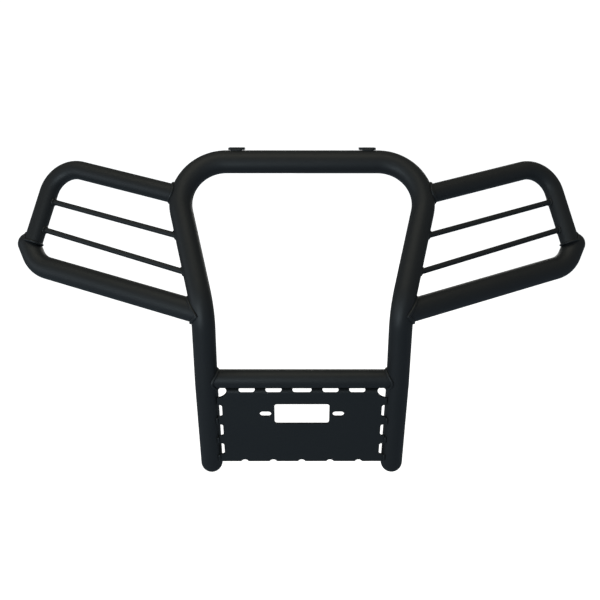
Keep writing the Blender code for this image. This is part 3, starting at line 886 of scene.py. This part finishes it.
@dataclass
class WinchPlate:
    """The folded plate with its fairlead window, slots, side notches and corner reliefs, and its short welds."""

    sizes: GuardSizes
    window: tuple[float, float, float] = (0.0930, 0.0442, 0.0045)
    window_up: float = 0.1147
    bolt_pitch: float = 0.1238
    bolt_slot: tuple[float, float] = (0.0200, 0.0115)
    top_slot: tuple[float, float] = (0.0270, 0.0062)
    top_middle_length: float = 0.0320
    top_shift: float = 0.0019
    relief_shift: float = 0.0011
    top_pitches: tuple[float, float] = (0.0477, 0.0449)
    bottom_slot: tuple[float, float] = (0.0135, 0.0080)
    bottom_pitch: float = 0.0502
    notch: tuple[float, float, float] = (0.0265, 0.0075, 0.0040)
    notch_pitch: float = 0.0441
    notch_first_up: float = 0.0336
    relief_radius: float = 0.0170
    top_cutback: float = 0.0120
    bottom_cutback: float = 0.0130
    frame_bolts: tuple[float, float, float] = (0.0105, 0.1506, 0.0190)
    weld: float = 0.0024
    weld_length: float = 0.0130
    rim: float = 0.00045
    weld_steps: tuple[tuple[str, float], ...] = (("bottom", -0.45), ("middle", 0.5), ("top", 1.5))
    cutters: list[bpy.types.Object] = field(default_factory=list)

    @property
    def height(self) -> float:
        """From the lower bend line up the face to the upper one."""
        axis = self.sizes.on_hoop(self.sizes.cross_height)
        return (axis - self.sizes.plate_corner).dot(self.sizes.plate_up) - self.sizes.cross_radius - GAP

    @property
    def half_width(self) -> float:
        """From the middle to where the plate's back edge meets the tube.

        Returns:
            The half width in metres.
        """
        sizes = self.sizes
        seat = math.sqrt(sizes.hoop_radius**2 - (sizes.face_offset - sizes.plate_thickness) ** 2)
        return sizes.foot_half_span - seat - GAP

    def place(self, at: tuple[float, float, float], tilt: Optional[Matrix] = None) -> Matrix:
        """A matrix from the plate's own directions (across, back, up the face) to the guard's."""
        turn = Matrix.Rotation(self.sizes.lower_rake, 4, "X")
        return Matrix.Translation(self.sizes.plate_corner) @ turn @ Matrix.Translation(at) @ (tilt or Matrix())

    def build(self) -> None:
        """Makes the plate and its welds."""
        sheet = self._sheet()
        self._openings()
        plate = put_in_scene("winch_plate_sheet", sheet)
        for cutter in self.cutters:
            cut_with(plate, cutter)
        round_rims(plate, self.rim, 2)
        settle(plate)
        for cutter in self.cutters:
            bpy.data.objects.remove(cutter, do_unlink=True)
        dress(plate, PLATE_COAT, Slot.PLATE, ["winch_plate"])
        self._welds()

    def _sheet(self) -> bpy.types.Mesh:
        """The folded sheet, with no openings yet: its section is drawn once and pushed across.

        Returns:
            The sheet's mesh, in the guard's place.
        """
        bend, depth, thickness = self.sizes.plate_bend, self.sizes.flange_depth, self.sizes.plate_thickness
        shape = bmesh.new()
        start = shape.verts.new((-self.half_width, depth, 0.0))
        geom: list[object] = [start]
        runs = (
            (Vector((0.0, bend - depth, 0.0)), Vector((0.0, bend, bend))),
            (Vector((0.0, 0.0, self.height - 2 * bend)), Vector((0.0, bend, self.height - bend))),
        )
        for run, centre in runs:
            geom = draw_on(shape, geom, run)
            turned = bmesh.ops.spin(
                shape,
                geom=geom,
                cent=(-self.half_width, centre.y, centre.z),
                axis=(-1.0, 0.0, 0.0),
                angle=math.radians(90.0),
                steps=12,
                use_merge=False,
            )
            geom = ring_verts(turned["geom_last"])
        draw_on(shape, geom, Vector((0.0, depth - bend, 0.0)))
        pushed = bmesh.ops.extrude_edge_only(shape, edges=shape.edges[:])
        bmesh.ops.translate(shape, vec=(2 * self.half_width, 0.0, 0.0), verts=ring_verts(pushed["geom"]))
        bmesh.ops.remove_doubles(shape, verts=shape.verts, dist=1e-6)
        bmesh.ops.recalc_face_normals(shape, faces=shape.faces)
        front = min(shape.faces, key=lambda f: f.calc_center_median().y)
        if front.normal.y > 0:
            bmesh.ops.reverse_faces(shape, faces=shape.faces[:])
        bmesh.ops.solidify(shape, geom=shape.faces[:], thickness=thickness)
        bmesh.ops.recalc_face_normals(shape, faces=shape.faces)
        bmesh.ops.transform(shape, matrix=self.place((0.0, 0.0, 0.0)), verts=shape.verts)
        return mesh_from("winch_plate_sheet", shape)

    def _cutter(self, name: str, shape: bmesh.types.BMesh, matrix: Matrix) -> None:
        """Keeps a solid that the plate is cut with.

        Args:
            name: The solid's name.
            shape: Its bmesh, which is freed.
            matrix: Its place.
        """
        bmesh.ops.recalc_face_normals(shape, faces=shape.faces)
        bmesh.ops.transform(shape, matrix=matrix, verts=shape.verts)
        self.cutters.append(put_in_scene(name, mesh_from(name, shape)))

    def _slot(
        self,
        name: str,
        size: tuple[float, float, float],
        corner: float,
        at: tuple[float, float, float],
        tilt: Optional[Matrix] = None,
    ) -> None:
        """Cuts a round-cornered slot.

        Args:
            name: The slot's name.
            size: Its length across, its depth through the sheet and its width up the face.
            corner: Its corners' radius.
            at: Its middle, in the plate's own directions.
            tilt: Its turn there.
        """
        shape = bmesh.new()
        bmesh.ops.create_cube(shape, size=1.0)
        bmesh.ops.scale(shape, vec=size, verts=shape.verts)
        through = [e for e in shape.edges if abs(e.verts[0].co.y - e.verts[1].co.y) > size[1] / 2]
        bmesh.ops.bevel(shape, geom=through, offset=corner, segments=12, affect="EDGES", profile=0.5, material=-1)
        self._cutter(name, shape, self.place(at, tilt))

    def _openings(self) -> None:
        """Every window, slot, notch and relief."""
        deep = 4 * self.sizes.plate_thickness
        width, height, corner = self.window
        self._slot("fairlead_window", (width, deep, height), corner, (0.0, 0.0, self.window_up))
        diagonal = 2 * self.sizes.plate_thickness + 2 * self.sizes.plate_bend
        for i in range(-2, 3):
            outer = max(0, abs(i) - 1)
            across = math.copysign(min(abs(i), 1) * self.top_pitches[0] + outer * self.top_pitches[1], i)
            length = self.top_middle_length if i == 0 else self.top_slot[0]
            wide = self.top_slot[1] * math.sqrt(2)
            at = (across, self.top_shift, self.height + self.top_shift)
            tilt = Matrix.Rotation(math.radians(-45), 4, "X")
            self._slot(f"top_bend_slot_{i + 3}", (length, diagonal, wide), 0.49 * wide, at, tilt)
            wide = self.bottom_slot[1] * math.sqrt(2)
            tilt = Matrix.Rotation(math.radians(45), 4, "X")
            at = (i * self.bottom_pitch, 0.0, 0.0)
            self._slot(f"bottom_bend_slot_{i + 3}", (self.bottom_slot[0], diagonal, wide), 0.49 * wide, at, tilt)
        for side in Side:
            self._side_openings(side, deep)

    def _side_openings(self, side: Side, deep: float) -> None:
        """One side's bolt slot, notches, corner relief, flange cut-backs and frame bolt hole.

        Args:
            side: The side.
            deep: How far the cutters reach through the sheet.
        """
        sign, name, sizes = side.sign, side.value, self.sizes
        length, width = self.bolt_slot
        at = (sign * self.bolt_pitch / 2, 0.0, self.window_up)
        self._slot(f"fairlead_slot_{name}", (length, deep, width), 0.49 * width, at)
        long, depth, corner = self.notch
        for i in range(3):
            at = (sign * self.half_width, 0.0, self.notch_first_up + i * self.notch_pitch)
            self._slot(f"side_notch_{name}_{i + 1}", (2 * depth, deep, long), corner, at)
        relief = bmesh.new()
        bmesh.ops.create_uvsphere(relief, u_segments=64, v_segments=40, radius=self.relief_radius)
        at = (sign * self.half_width, self.relief_shift, self.height + self.relief_shift)
        self._cutter(f"corner_relief_{name}", relief, self.place(at))
        reach = sizes.plate_bend + sizes.plate_thickness
        for flange, cutback, middle in (("top", self.top_cutback, self.height), ("bottom", self.bottom_cutback, 0.0)):
            block = bmesh.new()
            bmesh.ops.create_cube(block, size=1.0)
            long = 2 * sizes.flange_depth - reach
            bmesh.ops.scale(block, vec=(2 * cutback, long, 2 * reach), verts=block.verts)
            bmesh.ops.translate(block, vec=(0.0, reach + long / 2, 0.0), verts=block.verts)
            edges = [e for e in block.edges if abs(e.verts[0].co.z - e.verts[1].co.z) > reach]
            bmesh.ops.bevel(block, geom=edges, offset=0.004, segments=8, affect="EDGES", profile=0.5, material=-1)
            self._cutter(f"{flange}_cutback_{name}", block, self.place((sign * self.half_width, 0.0, middle)))
        diameter, pitch, setback = self.frame_bolts
        drill = bmesh.new()
        bmesh.ops.create_cone(drill, cap_ends=True, segments=48, radius1=diameter / 2, radius2=diameter / 2, depth=deep)
        self._cutter(f"frame_bolt_hole_{name}", drill, self.place((sign * pitch / 2, setback, 0.0)))

    def _welds(self) -> None:
        """Short beads in the groove between the plate's face and the uprights."""
        sizes = self.sizes
        lift = self.weld * 0.55
        ahead = sizes.face_offset + lift
        span = sizes.foot_half_span - math.sqrt((sizes.hoop_radius + lift) ** 2 - ahead**2)
        for side in Side:
            for step, notches in self.weld_steps:
                up = self.notch_first_up + notches * self.notch_pitch
                middle = sizes.plate_corner + Vector((side.sign * span, 0.0, 0.0))
                middle += sizes.plate_up * up - sizes.plate_back * (ahead - sizes.face_offset)
                half = sizes.plate_up * (self.weld_length / 2 + self.weld * 0.4)
                bead = WeldBead([middle - half, middle + half], self.weld, closed=False, pitch=0.0028)
                node = f"weld_plate_{side.value}_{step}"
                finish_piece(f"{node}_bead", bead.shape(), WELD_COAT, Slot.WELD, [node], crease=60.0)


def cut_with(piece: bpy.types.Object, cutter: bpy.types.Object) -> None:
    """Cuts a piece with a solid, as a modifier."""
    cut = piece.modifiers.new(cutter.name, "BOOLEAN")
    cut.operation, cut.solver, cut.object = "DIFFERENCE", "EXACT", cutter


def round_rims(piece: bpy.types.Object, width: float, segments: int) -> None:
    """Rounds a piece's sharp rims, as a modifier.

    Args:
        piece: The piece's object.
        width: How far the rounding reaches from each rim.
        segments: How many faces it has.
    """
    rounding = piece.modifiers.new("rounded_rims", "BEVEL")
    rounding.width, rounding.segments, rounding.limit_method = width, segments, "ANGLE"
    rounding.angle_limit = RIM_LIMIT


def settle(piece: bpy.types.Object) -> None:
    """Applies a piece's modifiers, with flat faces shaded flat and rims shaded round.

    Args:
        piece: The piece's object, which keeps the result.
    """
    for mesh in [piece.data] + [m.object.data for m in piece.modifiers if m.type == "BOOLEAN"]:
        mesh.shade_smooth()
    weighted = piece.modifiers.new("flat_faces_stay_flat", "WEIGHTED_NORMAL")
    weighted.mode, weighted.weight, weighted.keep_sharp = "FACE_AREA", 100, True
    graph = bpy.context.evaluated_depsgraph_get()
    result = bpy.data.meshes.new_from_object(piece.evaluated_get(graph))
    piece.modifiers.clear()
    piece.data = result


# ---------------------------------------------------------------- rack tabs


@dataclass
class RackTab:
    """A flat tab with a bolt hole, welded on top of the hoop's bar and rising to the back."""

    sizes: GuardSizes
    side: Side
    span: float = 0.1092
    width: float = 0.0270
    length: float = 0.0380
    front_reach: float = 0.0040
    thickness: float = 0.0040
    rise: float = math.radians(10.5)
    corner: float = 0.0050
    hole: float = 0.0090
    hole_from_end: float = 0.0130
    rim: float = 0.0006
    weld: float = 0.0021

    def build(self) -> None:
        """Makes the tab and its bead."""
        sizes, name = self.sizes, self.side.value
        normal = Vector((0.0, -math.sin(self.rise), math.cos(self.rise)))
        along = Vector((0.0, math.cos(self.rise), math.sin(self.rise)))
        bar = Vector((self.side.sign * self.span, sizes.shoulder[1], sizes.shoulder[2])) - sizes.origin
        seat = bar + normal * (sizes.hoop_radius + GAP + self.thickness / 2)
        shape = bmesh.new()
        bmesh.ops.create_cube(shape, size=1.0)
        bmesh.ops.scale(shape, vec=(self.width, self.length, self.thickness), verts=shape.verts)
        bmesh.ops.translate(shape, vec=(0.0, self.length / 2 - self.front_reach, 0.0), verts=shape.verts)
        upright = [e for e in shape.edges if abs(e.verts[0].co.z - e.verts[1].co.z) > self.thickness / 2]
        bmesh.ops.bevel(
            shape, geom=upright, offset=self.corner, segments=10, affect="EDGES", profile=0.5, material=-1
        )
        place = Matrix.Translation(seat) @ Matrix.Rotation(self.rise, 4, "X")
        bmesh.ops.transform(shape, matrix=place, verts=shape.verts)
        tab = put_in_scene(f"{name}_rack_tab_plate", mesh_from(f"{name}_rack_tab_plate", shape))
        drill = self._drill(seat + along * (self.length - self.front_reach - self.hole_from_end), normal)
        cut_with(tab, drill)
        round_rims(tab, self.rim, 3)
        settle(tab)
        bpy.data.objects.remove(drill, do_unlink=True)
        dress(tab, PLATE_COAT, Slot.PLATE, [f"{name}_rack_tab"])
        self._bead(bar, normal, along)

    def _drill(self, place: Vector, heading: Vector) -> bpy.types.Object:
        """The solid that cuts the bolt hole.

        Args:
            place: The hole's middle.
            heading: The way that the hole runs.

        Returns:
            The solid's object.
        """
        shape = bmesh.new()
        radius = self.hole / 2
        bmesh.ops.create_cone(
            shape, cap_ends=True, segments=48, radius1=radius, radius2=radius, depth=0.02, matrix=facing(place, heading)
        )
        return put_in_scene("tab_drill", mesh_from("tab_drill", shape))

    def _bead(self, bar: Vector, normal: Vector, along: Vector) -> None:
        """The bead between the bar and the tab's front edge.

        Args:
            bar: The bar's middle below the tab.
            normal: The way up from the tab.
            along: The way back along the tab.
        """
        ahead = self.front_reach + self.weld * 0.5
        up = math.sqrt((self.sizes.hoop_radius + self.weld * 0.5) ** 2 - ahead**2)
        middle = bar - along * ahead + normal * up
        half = Vector((self.width / 2 - self.corner + 0.001, 0.0, 0.0))
        bead = WeldBead([middle - half, middle + half], self.weld, closed=False, pitch=0.0026)
        node = f"weld_rack_tab_{self.side.value}"
        finish_piece(f"{node}_bead", bead.shape(), WELD_COAT, Slot.WELD, [node], crease=60.0)


# ---------------------------------------------------------------- studio


@dataclass
class Softbox:
    """A rectangular studio light."""

    name: str
    place: tuple[float, float, float]
    size: tuple[float, float]
    watts: float
    colour: tuple[float, float, float] = (1.0, 1.0, 1.0)

    def build(self, target: Vector) -> None:
        """Hangs the light and points it at the target.

        Args:
            target: The place that it faces.
        """
        light = bpy.data.lights.new(self.name, "AREA")
        light.shape, light.size, light.size_y = "RECTANGLE", *self.size
        light.energy, light.color = self.watts, self.colour
        obj = put_in_scene(self.name, light)
        obj.location = self.place
        obj.rotation_euler = (target - Vector(self.place)).to_track_quat("-Z", "Y").to_euler()


@dataclass
class Studio:
    """A pale floor and wall in one sweep, soft lights and the camera."""

    floor_drop: float = 0.42
    camera_place: tuple[float, float, float] = (-0.0085, -1.6650, 0.2776)
    camera_yaw: float = -0.0033
    lens: float = 55.92
    below: tuple[float, float, float] = (0.135, 0.170, 0.205)
    above: tuple[float, float, float] = (0.155, 0.160, 0.150)
    lights: tuple[Softbox, ...] = (
        Softbox("overhead_box", (-0.4, -1.7, 2.8), (2.8, 2.0), 15.0, (1.0, 0.97, 0.80)),
        Softbox("front_box", (-0.25, -3.0, 0.35), (0.6, 0.9), 3.0, (0.82, 0.94, 1.0)),
        Softbox("left_box", (-2.8, -1.0, 0.0), (1.6, 1.6), 8.0, (0.80, 0.91, 1.0)),
        Softbox("low_box", (-0.7, -1.3, -0.40), (0.8, 0.5), 8.0, (0.80, 0.94, 1.0)),
        Softbox("back_box", (0.8, 3.0, 1.6), (2.4, 1.6), 22.0, (1.0, 0.98, 0.94)),
    )

    def build(self) -> None:
        """Sets up the studio."""
        self._sweep()
        for light in self.lights:
            light.build(Vector((0.0, 0.0, 0.25)))
        self._world()
        self._camera()

    def _sweep(self) -> None:
        """The floor that curves up into the wall."""
        shape = bmesh.new()
        bottom = CAD_BOX[0][2] - self.floor_drop
        start = shape.verts.new((-6.0, -6.0, bottom))
        geom = draw_on(shape, [start], Vector((0.0, 8.0, 0.0)))
        turned = bmesh.ops.spin(
            shape, geom=geom, cent=(-6.0, 2.0, bottom + 1.5), axis=(1.0, 0.0, 0.0), angle=math.radians(90), steps=24
        )
        draw_on(shape, ring_verts(turned["geom_last"]), Vector((0.0, 0.0, 4.0)))
        pushed = bmesh.ops.extrude_edge_only(shape, edges=shape.edges[:])
        bmesh.ops.translate(shape, vec=(12.0, 0.0, 0.0), verts=ring_verts(pushed["geom"]))
        bmesh.ops.recalc_face_normals(shape, faces=shape.faces)
        mesh = mesh_from("studio_floor", shape)
        mesh.shade_smooth()
        material = bpy.data.materials.new("studio_white")
        material.use_nodes = True
        shader = material.node_tree.nodes["Principled BSDF"]
        shader.inputs["Base Color"].default_value = (0.92, 0.92, 0.92, 1.0)
        shader.inputs["Roughness"].default_value = 0.9
        shader.inputs["Specular IOR Level"].default_value = 0.0
        shader.inputs["Emission Color"].default_value = (1.0, 1.0, 1.0, 1.0)
        shader.inputs["Emission Strength"].default_value = 0.9
        mesh.materials.append(material)
        floor = put_in_scene("studio_floor", mesh)
        floor.visible_diffuse = floor.visible_glossy = False

    def _world(self) -> None:
        """A white backdrop that lights the guard dimly."""
        world = bpy.data.worlds.new("studio_world")
        world.use_nodes = True
        tree = world.node_tree
        way = add_node(tree, "ShaderNodeTexCoord", output="Generated")
        height = add_node(tree, "ShaderNodeSeparateXYZ", inputs={0: way}, output="Z").ramp(-0.7, 0.7)
        colours = {"Factor": height, 6: (*self.below, 1.0), 7: (*self.above, 1.0)}
        dim = add_node(tree, "ShaderNodeMix", {"data_type": "RGBA"}, colours, output=2)
        seen = add_node(tree, "ShaderNodeLightPath", output="Is Camera Ray")
        backdrop = {"Factor": seen, 6: dim, 7: (1.0, 1.0, 1.0, 1.0)}
        colour = add_node(tree, "ShaderNodeMix", {"data_type": "RGBA"}, backdrop, output=2)
        tree.links.new(colour.out, tree.nodes["Background"].inputs["Color"])
        bpy.context.scene.world = world
        bpy.context.scene.view_settings.view_transform = "Standard"

    def _camera(self) -> None:
        """The camera, level and straight ahead of the guard."""
        camera = bpy.data.cameras.new("studio_camera")
        camera.lens, camera.sensor_width = self.lens, 36.0
        camera.clip_start, camera.clip_end = 0.05, 60.0
        obj = put_in_scene("studio_camera", camera)
        obj.location = self.camera_place
        obj.rotation_euler = (math.radians(90.0), 0.0, self.camera_yaw)
        bpy.context.scene.camera = obj


def write_sizes() -> None:
    """Updates the view layer."""
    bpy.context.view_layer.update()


def main() -> None:
    """Builds the guard and the studio."""
    logging.basicConfig(level=logging.INFO, format="%(name)s: %(message)s")
    sizes = GuardSizes()
    Hoop(sizes).build()
    for side in Side:
        Wing(sizes, side).build()
        RackTab(sizes, side).build()
    WinchPlate(sizes).build()
    Studio().build()
    write_sizes()


if __name__ == "__main__":
    main()
